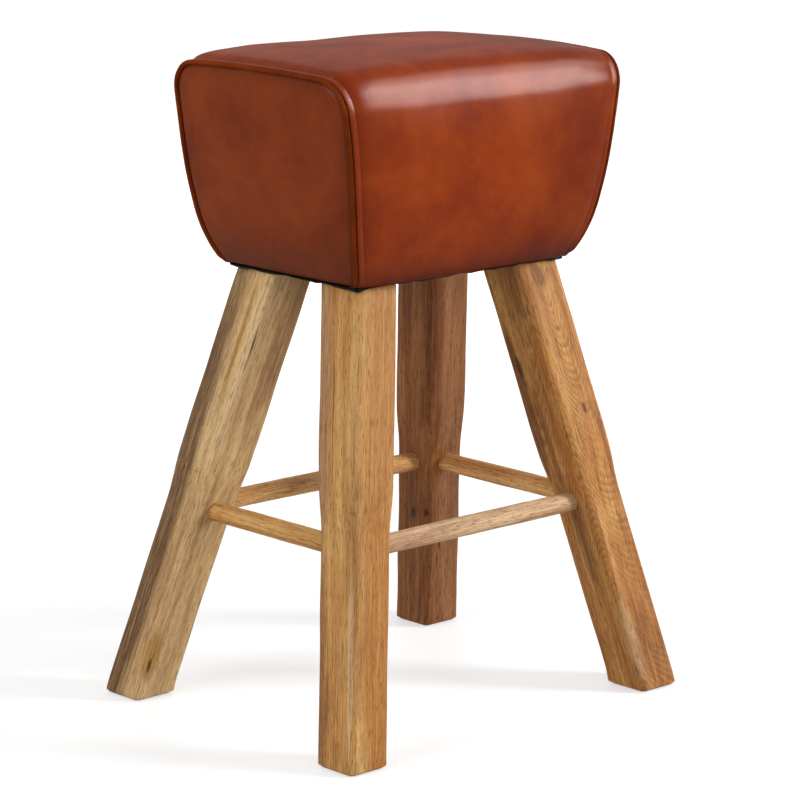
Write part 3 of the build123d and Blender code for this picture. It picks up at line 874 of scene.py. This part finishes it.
def lining_piece():
    """Black cloth stapled under the seat. Its edge is folded under and hangs in small waves."""
    leg_half = leg_upper_side / 2 + 0.7 * mm
    centre = leg_centre(seat_bottom, 1, 1)
    lines = []
    for axis, step in ((0, 6 * mm), (1, 5 * mm)):
        inner = centre[axis] - leg_half
        stops = [-cloth_half[axis] + 4 * mm, -centre[axis] - leg_half, -inner, cut_back - inner,
                 inner - cut_back, inner, centre[axis] + leg_half, cloth_half[axis] - 4 * mm]
        line = [stops[0]]
        for low, high in zip(stops, stops[1:]):
            count = max(int(round((high - low) / step)), 1)
            line += list(np.linspace(low, high, count + 1)[1:])
        lines.append(np.array(line))
    xs, ys = lines
    rows, columns = len(ys), len(xs)
    vertices = [(x, y, cloth_level) for y in ys for x in xs]
    faces = []
    for face in grid_faces(rows, columns):
        middle = np.mean([vertices[v][:2] for v in face], axis=0)
        away = [centre[axis] - abs(middle[axis]) for axis in (0, 1)]
        wide_leg = middle[0] * middle[1] < 0
        if min(away) < -leg_half or max(away) > leg_half + cut_back * wide_leg:
            faces.append(face)
    ring = grid_edge(rows, columns)
    droops = ((-0.97, -1, 4.5, 9), (0.9, -1, 1.5, 12), (-1, 0.9, 1.0, 12), (1, 1, 1.0, 15),
              (-0.42, -1, 1.2, 14), (0.4, -1, 1.6, 18), (-1, 0.45, 1.4, 14))
    previous = ring
    for out, drop in ((2.0, 0.3), (3.4, 1.2), (3.2, 2.2), (1.6, 2.7), (-3.0, 2.5), (-6.5, 1.8)):
        new = []
        for number in ring:
            x, y, z = vertices[number]
            side_x = int(x > xs[-1] - mm) - int(x < xs[0] + mm)
            side_y = int(y > ys[-1] - mm) - int(y < ys[0] + mm)
            wave = noise.fractal(Vector((x, y, 0)) / (19 * mm) + Vector((4.2, 0, 0)), 1.0, 2.0, 2)
            fold = noise.noise(Vector((x, y, 0)) / (7 * mm))
            hang = 0
            for across, along, depth, width in droops:
                away = math.hypot(x - across * cloth_half[0], y - along * cloth_half[1])
                hang = max(hang, depth * math.exp(-(away / (width * mm)) ** 2))
            push = (out + 0.6 * wave + 0.15 * hang) * mm * (0.4 if side_x and side_y else 1)
            shift_x, shift_y = side_x * push, side_y * push
            down = drop * (1 + 0.6 * wave + 0.25 * fold) + hang * min(drop / 2.9, 1)
            vertices.append((x + shift_x, y + shift_y, cloth_level - down * mm))
            new.append(len(vertices) - 1)
        faces += [(a, b, d, c) for a, b, d, c in zip(previous, previous[1:] + previous[:1],
                                                     new[1:] + new[:1], new)]
        previous = new
    piece = make_piece("lining_cloth", vertices, [face[::-1] for face in faces])
    face_outward(piece)
    apply_modifier(piece, "SOLIDIFY", thickness=0.5 * mm, offset=0)
    apply_modifier(piece, "SUBSURF", levels=1, render_levels=1)
    smooth(piece)
    return piece


def staple_pieces():
    """A row of steel staples that holds the cloth up, one modelled and the others copied."""
    bpy.ops.object.select_all(action="DESELECT")
    bpy.ops.mesh.primitive_cube_add(size=mm, location=(0, 0, 0), scale=(10, 1.2, 0.6))
    staple = bpy.context.active_object
    settle()
    select_faces(staple.data, lambda centre, normal: abs(normal.x) > 0.9)
    with editing():
        draw_out((0, 0, 0))
        bpy.ops.transform.resize(value=(1.12, 1, 1))
    select_faces(staple.data, lambda centre, normal: normal.z > 0.9 and abs(centre.x) > 5 * mm)
    with editing():
        draw_out((0, 0, staple_leg))
        bpy.ops.mesh.select_all(action="SELECT")
        bpy.ops.mesh.bevel(offset=0.15 * mm, segments=2, affect="EDGES")
    smooth(staple, 40)
    places = [(x, sign * (cloth_half[1] - staple_inset), 0) for sign in (-1, 1) for x in
              np.array((-72, -48, -24, 0, 24, 48, 72)) * mm]
    places += [(sign * (cloth_half[0] - staple_inset), y, math.pi / 2) for sign in (-1, 1) for y in
               np.array((-22, 0, 22)) * mm]
    for number, (x, y, turn) in enumerate(places):
        copy = staple.copy()
        copy.data = staple.data.copy()
        copy.name = "lining_staple_%02d" % (number + 1)
        bpy.context.scene.collection.objects.link(copy)
        tilt = 0.12 * math.sin(5 * number)
        copy.matrix_world = (Matrix.Translation((x, y, cloth_level - staple_drop))
                             @ Matrix.Rotation(turn + tilt, 4, "Z"))
        only(copy)
        settle()
        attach(copy, "root")
        give(copy, steel)
    bpy.data.objects.remove(staple)


# Legs
def select_faces(mesh, test):
    """In object mode, selects the faces whose centre and normal pass a test, and nothing else."""
    mesh.vertices.foreach_set("select", [False] * len(mesh.vertices))
    mesh.edges.foreach_set("select", [False] * len(mesh.edges))
    for face in mesh.polygons:
        face.select = bool(test(face.center, face.normal))


def select_edges(mesh, test):
    """In object mode, selects the edges whose two ends pass a test, and nothing else."""
    mesh.vertices.foreach_set("select", [False] * len(mesh.vertices))
    mesh.polygons.foreach_set("select", [False] * len(mesh.polygons))
    for edge in mesh.edges:
        first, second = (mesh.vertices[v].co for v in edge.vertices)
        edge.select = bool(test(first, second))


def leg_centre(height, x_sign, y_sign):
    """Centre of a leg's level section."""
    share = height / leg_top
    return Vector((x_sign * (foot_centre[0] + (top_centre[0] - foot_centre[0]) * share),
                   y_sign * (foot_centre[1] + (top_centre[1] - foot_centre[1]) * share), height))


def leg_side(height, lower=0):
    """Width of a leg at a height, or of one whose shoulder is cut a little lower."""
    return leg_lower_side + (leg_upper_side - leg_lower_side) * float(
        between(height + lower, shoulder_bottom, shoulder_bottom + shoulder_length))


def leg_piece(name, x_sign, y_sign, seed, inner, outer):
    """A leaning square leg drawn up from its foot, with eased corners and hand-worked faces.

    Its inner sides stand out by inner and its outer ones by outer, as no two legs are cut alike."""
    bpy.ops.object.select_all(action="DESELECT")
    first_rise = 12 * mm
    start = leg_centre(first_rise / 2, x_sign, y_sign)
    bpy.ops.mesh.primitive_cube_add(size=leg_lower_side, location=(start.x, start.y, first_rise / 2),
                                    scale=(1, 1, first_rise / leg_lower_side))
    leg = bpy.context.active_object
    leg.name = name
    settle()
    heights = [80 * mm, 160 * mm, shoulder_bottom]
    heights += [shoulder_bottom + shoulder_length * share for share in (0.25, 0.5, 0.75, 1)]
    heights += [380 * mm, 450 * mm, leg_top]
    reached = first_rise
    for height in heights:
        select_faces(leg.data, lambda centre, normal: normal.z > 0.9 and centre.z > reached - mm)
        with editing():
            move = leg_centre(height, x_sign, y_sign) - leg_centre(reached, x_sign, y_sign)
            draw_out(move)
            bpy.ops.transform.resize(value=(leg_side(height) / leg_side(reached),) * 2 + (1,))
        reached = height
    for vertex in leg.data.vertices:
        if vertex.co.z < first_rise:
            shift = leg_centre(vertex.co.z, x_sign, y_sign) - leg_centre(first_rise / 2, x_sign, y_sign)
            vertex.co.x += shift.x
            vertex.co.y += shift.y
    select_edges(leg.data, lambda a, b: abs(a.z - b.z) > mm)
    with editing():
        bpy.ops.mesh.bevel(offset=leg_edge, segments=4, profile=0.5, affect="EDGES", clamp_overlap=False)
    select_edges(leg.data, lambda a, b: a.z < 0.5 * mm and b.z < 0.5 * mm)
    with editing():
        bpy.ops.mesh.bevel(offset=3 * mm, segments=3, profile=0.5, affect="EDGES")
    select_edges(leg.data, lambda a, b: abs(a.z - b.z) < 0.2 * mm and (a - b).length > 25 * mm)
    with editing():
        bpy.ops.mesh.subdivide(number_cuts=8)
    for turn in range(2):
        select_edges(leg.data, lambda a, b: abs(a.z - b.z) > 12 * mm)
        with editing():
            bpy.ops.mesh.subdivide(number_cuts=2)
    for vertex in leg.data.vertices:
        here = vertex.co
        axis = leg_centre(here.z, x_sign, y_sign)
        offset = Vector((here.x - axis.x, here.y - axis.y, 0))
        out = offset.normalized()
        half = leg_side(here.z) / 2
        swell = inner + (leg_side(here.z, 16 * mm) / 2 - half if inner else 0)
        for number, sign in ((0, x_sign), (1, y_sign)):
            offset[number] *= 1 + (outer if offset[number] * sign > 0 else swell) / half
        here = axis + offset
        worked = noise.noise(here / (70 * mm) + Vector((seed, 0, 0)))
        planed = noise.noise(Vector((here.x / (25 * mm), here.y / (25 * mm), here.z / (120 * mm) + seed)))
        keep = float(between(here.z, 0, 20 * mm)) * float(between(leg_top - here.z, 0, 30 * mm))
        vertex.co = here + out * (0.8 * mm * worked + 0.35 * mm * planed) * keep
    smooth(leg, 32)
    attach(leg, "root")
    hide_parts(name.replace("wooden_", ""))
    return leg


# Rails
def rail_piece(name, axis, sign, seed):
    """A hand-rounded rail between two legs, running into a socket in each."""
    centre = leg_centre(rail_height, 1, 1)
    socket = [c - leg_side(rail_height) / 2 + rail_socket_depth for c in centre.xy]
    half = socket[0] if axis == "x" else socket[1]
    place = (0, sign * centre.y, rail_height) if axis == "x" else (sign * centre.x, 0, rail_height)
    turn = (0, math.pi / 2, 0) if axis == "x" else (math.pi / 2, 0, 0)
    bpy.ops.object.select_all(action="DESELECT")
    bpy.ops.mesh.primitive_cylinder_add(vertices=28, radius=rail_radius, depth=2 * half, location=place,
                                        rotation=turn)
    rail = bpy.context.active_object
    rail.name = name
    settle()
    bpy.context.tool_settings.mesh_select_mode = (False, True, False)
    select_edges(rail.data, lambda a, b: (a - b).length > half)
    with editing():
        bpy.ops.mesh.subdivide(number_cuts=60)
    bpy.context.tool_settings.mesh_select_mode = (True, False, False)
    along = 0 if axis == "x" else 1
    for vertex in rail.data.vertices:
        here = vertex.co
        axis_point = Vector(place)
        axis_point[along] = here[along]
        out = here - axis_point
        if out.length < mm:
            continue
        share = here[along] / half
        belly = 1 + 0.035 * (1 - share * share) - 0.05 * float(between(abs(share), 0.8, 0.95))
        facet = noise.noise(Vector((here[along] / (55 * mm), 3 * math.atan2(out.z, out[1 - along]), seed)))
        rough = noise.noise(here / (18 * mm) + Vector((seed, seed, 0)))
        vertex.co = axis_point + out * (belly + 0.03 * facet + 0.012 * rough)
    smooth(rail, 50)
    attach(rail, "root")
    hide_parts(name.replace("wooden_", ""))
    return rail


wrap_leather = leather_finish("wrap leather", linear(152, 61, 7), linear(136, 48, 2),
                              linear(116, 35, 2), 0.27, 0.21)
end_leather = leather_finish("end leather", linear(130, 55, 16), linear(118, 47, 11),
                             linear(102, 37, 8), 0.3, 0.2)
cord_leather = leather_finish("piping leather", linear(146, 62, 18), linear(124, 49, 12),
                              linear(92, 34, 8), 0.3, 0.05)
foam = foam_finish()
steel = zinc_finish()
plywood = plain_board_finish("seat plywood", linear(206, 178, 134), linear(184, 152, 106),
                             (0.25, 1, 1), 90)
softwood = plain_board_finish("box softwood", linear(214, 184, 138), linear(190, 152, 102),
                              (0.12, 1, 1), 130)
for piece in bpy.data.objects:
    if "board" in piece.name or "block" in piece.name:
        give(piece, plywood if piece.name == "seat_board" else softwood)
    if "screw" in piece.name:
        give(piece, steel)

wrap = wrap_piece()
give(wrap, wrap_leather)
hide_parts("leather_wrap")
foam_over_box = foam_wrap_piece()
give(foam_over_box, foam)
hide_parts("foam_wrap")
for side, sign in (("left", -1), ("right", 1)):
    panel = end_piece("leather_end_panel_" + side, sign)
    give(panel, end_leather)
    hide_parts("leather_end_" + side)
    cord = piping_piece("seam_piping_" + side, sign)
    give(cord, cord_leather)
    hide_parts("piping_" + side)
    pad = foam_end_piece("foam_pad_" + side, sign)
    give(pad, foam)
    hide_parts("foam_end_" + side)
lining = lining_piece()
give(lining, black_cloth_finish())
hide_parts("dust_cover")
staple_pieces()

# Wood tones, each as light, middle, dark and pore colour, and each leg's own marks
golden = (linear(213, 167, 104), linear(191, 139, 79), linear(160, 110, 60), linear(104, 64, 32))
ruddy = (linear(214, 160, 94), linear(188, 131, 72), linear(152, 96, 50), linear(92, 52, 28))
# brown: the back right leg's tone, partly its own darker wood colour and partly painted shade from under the
# seat.
brown_with_painted_shade = (linear(170, 114, 70), linear(138, 87, 50), linear(100, 60, 34), linear(54, 32, 20))
# honey: tone for the back and right rails, lighter than their own wood as painted light against the shade
# they sit in under the seat.
honey_with_painted_light = (linear(234, 186, 124), linear(216, 162, 102), linear(180, 124, 74), linear(98, 62, 36))
blush = (linear(232, 196, 156), linear(212, 174, 134), linear(172, 128, 90), linear(98, 64, 42))
# pinkish: the back left leg's tone, its own pinkish wood colour lightened in part as painted light against
# the shadow of the near leg.
pinkish_with_painted_light = (linear(222, 188, 136), linear(204, 168, 116), linear(170, 130, 88), linear(98, 64, 42))
grey_brown, pink_brown, umber = linear(142, 108, 84), linear(108, 66, 43), linear(90, 52, 34)
walnut, fawn, rust = linear(76, 44, 28), linear(166, 118, 80), linear(160, 96, 48)
olive, amber, soot = linear(160, 118, 44), linear(176, 108, 46), linear(50, 32, 22)
pale, chestnut, peach = linear(214, 184, 144), linear(118, 66, 38), linear(178, 119, 62)
leg_looks = {
    "front_left": (golden, (0.03, 0.30, 0.02, 0.03), 300, 1.3, (0, 0), (
        ((-32, 24, 420), (19, 240), grey_brown, 0.75, 0.8), ((-31, 22, 60), (14, 200), pink_brown, 0.7, 1.2),
        ((-31, -26, 130), (5, 110), pale, 0.6, 1.2), ((-30, -28, 330), (6, 160), grey_brown, 0.35, 1.4),
        ((8, -34, 390), (34, 220), peach, 0.75, 1.0), ((12, -32, 120), (32, 190), amber, 0.7, 1.0),
        ((-34, 3, 380), (1.2, 90), soot, 0.7, 0.5), ((-30, -26, 45), (1.0, 30), pale, 0.9, 0.4),
        ((-14, -33, 270), (5, 120), olive, 0.4, 1.5))),
    "front_right": (ruddy, (0.0375, 0.107, -0.083, -0.28), 380, 4.1, (3.5, 0), (
        ((-34, 22, 345), (13, 100), umber, 0.8, 1.6), ((-34, 16, 392), (6, 16), soot, 0.7, 1.2),
        ((-33, 4, 300), (7, 90), umber, 0.5, 2.0), ((-33, -14, 500), (14, 50), chestnut, 0.55, 1.4),
        ((-30, -24, 410), (9, 60), amber, 0.75, 1.0), ((-31, -22, 290), (9, 70), amber, 0.65, 1.2),
        ((5, -33, 347), (3, 7), umber, 0.9, 1.2), ((-31, -2, 185), (9, 70), umber, 0.7, 1.4),
        ((2, -31, 130), (30, 80), rust, 0.55, 1.6), ((0, -33, 290), (18, 60), amber, 0.35, 1.0),
        ((-6, -33, 508), (14, 16), pink_brown, 0.75, 1.2), ((24, -33, 290), (5, 70), chestnut, 0.6, 1.5),
        ((-24, -31, 70), (10, 60), pale, 0.45, 1.8), ((2, -31, 60), (24, 60), chestnut, 0.5, 2.6))),
    "back_left": (pinkish_with_painted_light, (0.05, 0.22, 0.03, 0.02), 320, 7.7, (4.5, -1.2), (
        ((-36, 24, 150), (35, 512), walnut, 0.93, 0.5), ((-33, -12, 440), (4.5, 100), olive, 0.75, 0.9),
        ((-30, -32, 400), (8, 110), pale, 0.5, 1.0), ((-28, -33, 430), (1.6, 34), soot, 0.9, 1.6),
        ((-24, -33, 385), (1.2, 22), soot, 0.7, 1.6), ((-20, -33, 360), (4, 60), olive, 0.7, 1.0),
        ((22, -33, 460), (17, 110), pink_brown, 0.62, 1.2), ((-24, -31, 58), (12, 36), olive, 0.8, 0.8),
        ((-25, -31, 46), (2.6, 12), soot, 0.8, 1.6), ((-30, -6, 50), (1.4, 50), soot, 0.7, 0.5))),
    "back_right": (brown_with_painted_shade, (-0.02, 0.06, 0, -0.09), 380, 9.2, (0, 0), (
        ((-30, -1, 160), (5.5, 10), soot, 0.92, 0.9), ((-30, -1, 157), (2.2, 3), grey_brown, 0.8, 0.4),
        ((-29, -25, 163), (5.5, 7), soot, 0.85, 1.2), ((-26, -14, 166), (22, 26), chestnut, 0.7, 1.2),
        ((1, -30, 179), (3, 6), soot, 0.9, 0.8), ((2, -31, 178), (15, 22), chestnut, 0.5, 1.0),
        ((-8, -30, 116), (3, 9), soot, 0.9, 0.5), ((-12, -30, 98), (2.6, 10), soot, 0.85, 0.6),
        ((8, -32, 300), (24, 400), fawn, 0.45, 0.8), ((-16, -31, 232), (9, 30), amber, 0.6, 1.6),
        ((-20, -33, 400), (10, 160), chestnut, 0.7, 1.2), ((-33, 10, 300), (7, 200), chestnut, 0.55, 1.2)))}
for corner, (x_sign, y_sign) in corners.items():
    tones, pith, rings, seed, (inner, outer), marks = leg_looks[corner]
    marks = [(Vector(place) * mm, (wide * mm, tall * mm), colour, strength, ragged)
             for place, (wide, tall), colour, strength, ragged in marks]
    lean = (x_sign * foot_centre[0], y_sign * foot_centre[1],
            x_sign * (top_centre[0] - foot_centre[0]) / leg_top,
            y_sign * (top_centre[1] - foot_centre[1]) / leg_top)
    leg = leg_piece("wooden_leg_" + corner, x_sign, y_sign, seed, inner * mm, outer * mm)
    give(leg, wood_finish("wood of leg " + corner.replace("_", " "), tones, seed, lean, "XYZ", pith, rings,
                          0.45 if corner == "front_right" else 0.2, marks))
rail_centre = leg_centre(rail_height, 1, 1)
# The back and right rails take the lightened honey tone, painted light against the shade under the seat.
for name, axis, sign, seed, tones in (("front", "x", -1, 2.2, blush), ("back", "x", 1, 3.3, honey_with_painted_light),
                                      ("left", "y", -1, 5.1, golden), ("right", "y", 1, 6.4, honey_with_painted_light)):
    rail = rail_piece("wooden_rail_" + name, axis, sign, seed)
    place = (sign * rail_centre.y, rail_height) if axis == "x" else (rail_height, sign * rail_centre.x)
    give(rail, wood_finish("wood of rail " + name, tones, seed, (*place, 0, 0),
                           "YZX" if axis == "x" else "ZXY", (0.02, 0.02, 0.01, 0.02), 360))

# Floor, lights and camera
bpy.ops.object.select_all(action="DESELECT")
bpy.ops.mesh.primitive_plane_add(size=80)
floor = bpy.context.active_object
floor.name = "floor"
studio = Finish("pale floor")
glow = studio.step(studio.vector("LENGTH", studio.place, out="Value"), 0.5, 3.0, 0.55, 0.83)
mirrored = studio.ray("Glossy", "Transmission")
glow = studio.math("MAXIMUM", mirrored, studio.times(glow, studio.ray("Camera")))
give(floor, studio.done(Base_Color=studio.mix(mirrored, (0.55, 0.55, 0.55), (0, 0, 0)),
                        Roughness=0.85, Specular_IOR_Level=0.0, Emission_Color=(1, 1, 1),
                        Emission_Strength=glow))


def soft_light(name, place, aim, size, power):
    """A soft area light that faces a point."""
    light = bpy.data.lights.new(name, "AREA")
    light.shape = "RECTANGLE"
    light.size, light.size_y = size
    light.energy = power
    lamp = bpy.data.objects.new(name, light)
    lamp.location = place
    lamp.rotation_euler = (Vector(aim) - Vector(place)).to_track_quat("-Z", "Y").to_euler()
    bpy.context.scene.collection.objects.link(lamp)
    return lamp


seat_middle = (0, 0, 0.62)
side_box = soft_light("side box", (2.15, -2.45, 1.85), seat_middle, (0.8, 2.6), 104)
back_box = soft_light("back box", (2.6, 3.0, 2.2), seat_middle, (2.2, 2.0), 48)
side_box.visible_glossy = back_box.visible_glossy = False
gloss_box = soft_light("gloss box", (2.42, -2.22, 2.0), seat_middle, (1.35, 1.75), 212)
upper_gloss_box = soft_light("upper gloss box", (2.42, -1.22, 2.88), seat_middle, (1.7, 1.0), 66)
gloss_box.visible_diffuse = upper_gloss_box.visible_diffuse = False
soft_light("front box", (-1.2, -3.2, 2.2), (0, 0, 0.45), (2.4, 2.0), 14)
soft_light("left box", (-3.2, 0.4, 1.6), (0, 0, 0.45), (2.0, 2.0), 60)

world = bpy.data.worlds.new("studio")
bpy.context.scene.world = world
world.use_nodes = True
sky = Nodes(world.node_tree)
lighting = sky.node("Background", "Background", Color=(1, 1, 1), Strength=0.36)
backdrop = sky.node("Background", "Background", Color=(1, 1, 1), Strength=1.0)
blend = sky.tree.nodes.new("ShaderNodeMixShader")
for socket, value in zip(blend.inputs, (sky.ray("Camera", "Glossy", "Transmission"), lighting, backdrop)):
    sky.put(socket, value)
sky.put(sky.tree.nodes["World Output"].inputs["Surface"], blend.outputs[0])

camera_azimuth = -0.7659
camera_elevation = 0.2147
camera_roll = 0.0131
camera_place = (-2.7498, -2.8665, 1.2226)
camera_lens = 154.1
camera = bpy.data.objects.new("camera", bpy.data.cameras.new("camera"))
bpy.context.scene.collection.objects.link(camera)
camera.data.lens = camera_lens
camera.data.sensor_width = 36
back = Vector((math.sin(camera_azimuth) * math.cos(camera_elevation),
               -math.cos(camera_azimuth) * math.cos(camera_elevation), math.sin(camera_elevation)))
across = Vector((0, 0, 1)).cross(back).normalized()
up = back.cross(across)
right = across * math.cos(camera_roll) + up * math.sin(camera_roll)
upward = up * math.cos(camera_roll) - across * math.sin(camera_roll)
camera.matrix_world = (Matrix.Translation(camera_place)
                       @ Matrix((right, upward, back)).transposed().to_4x4())
bpy.context.scene.camera = camera
bpy.context.scene.view_settings.view_transform = "Standard"
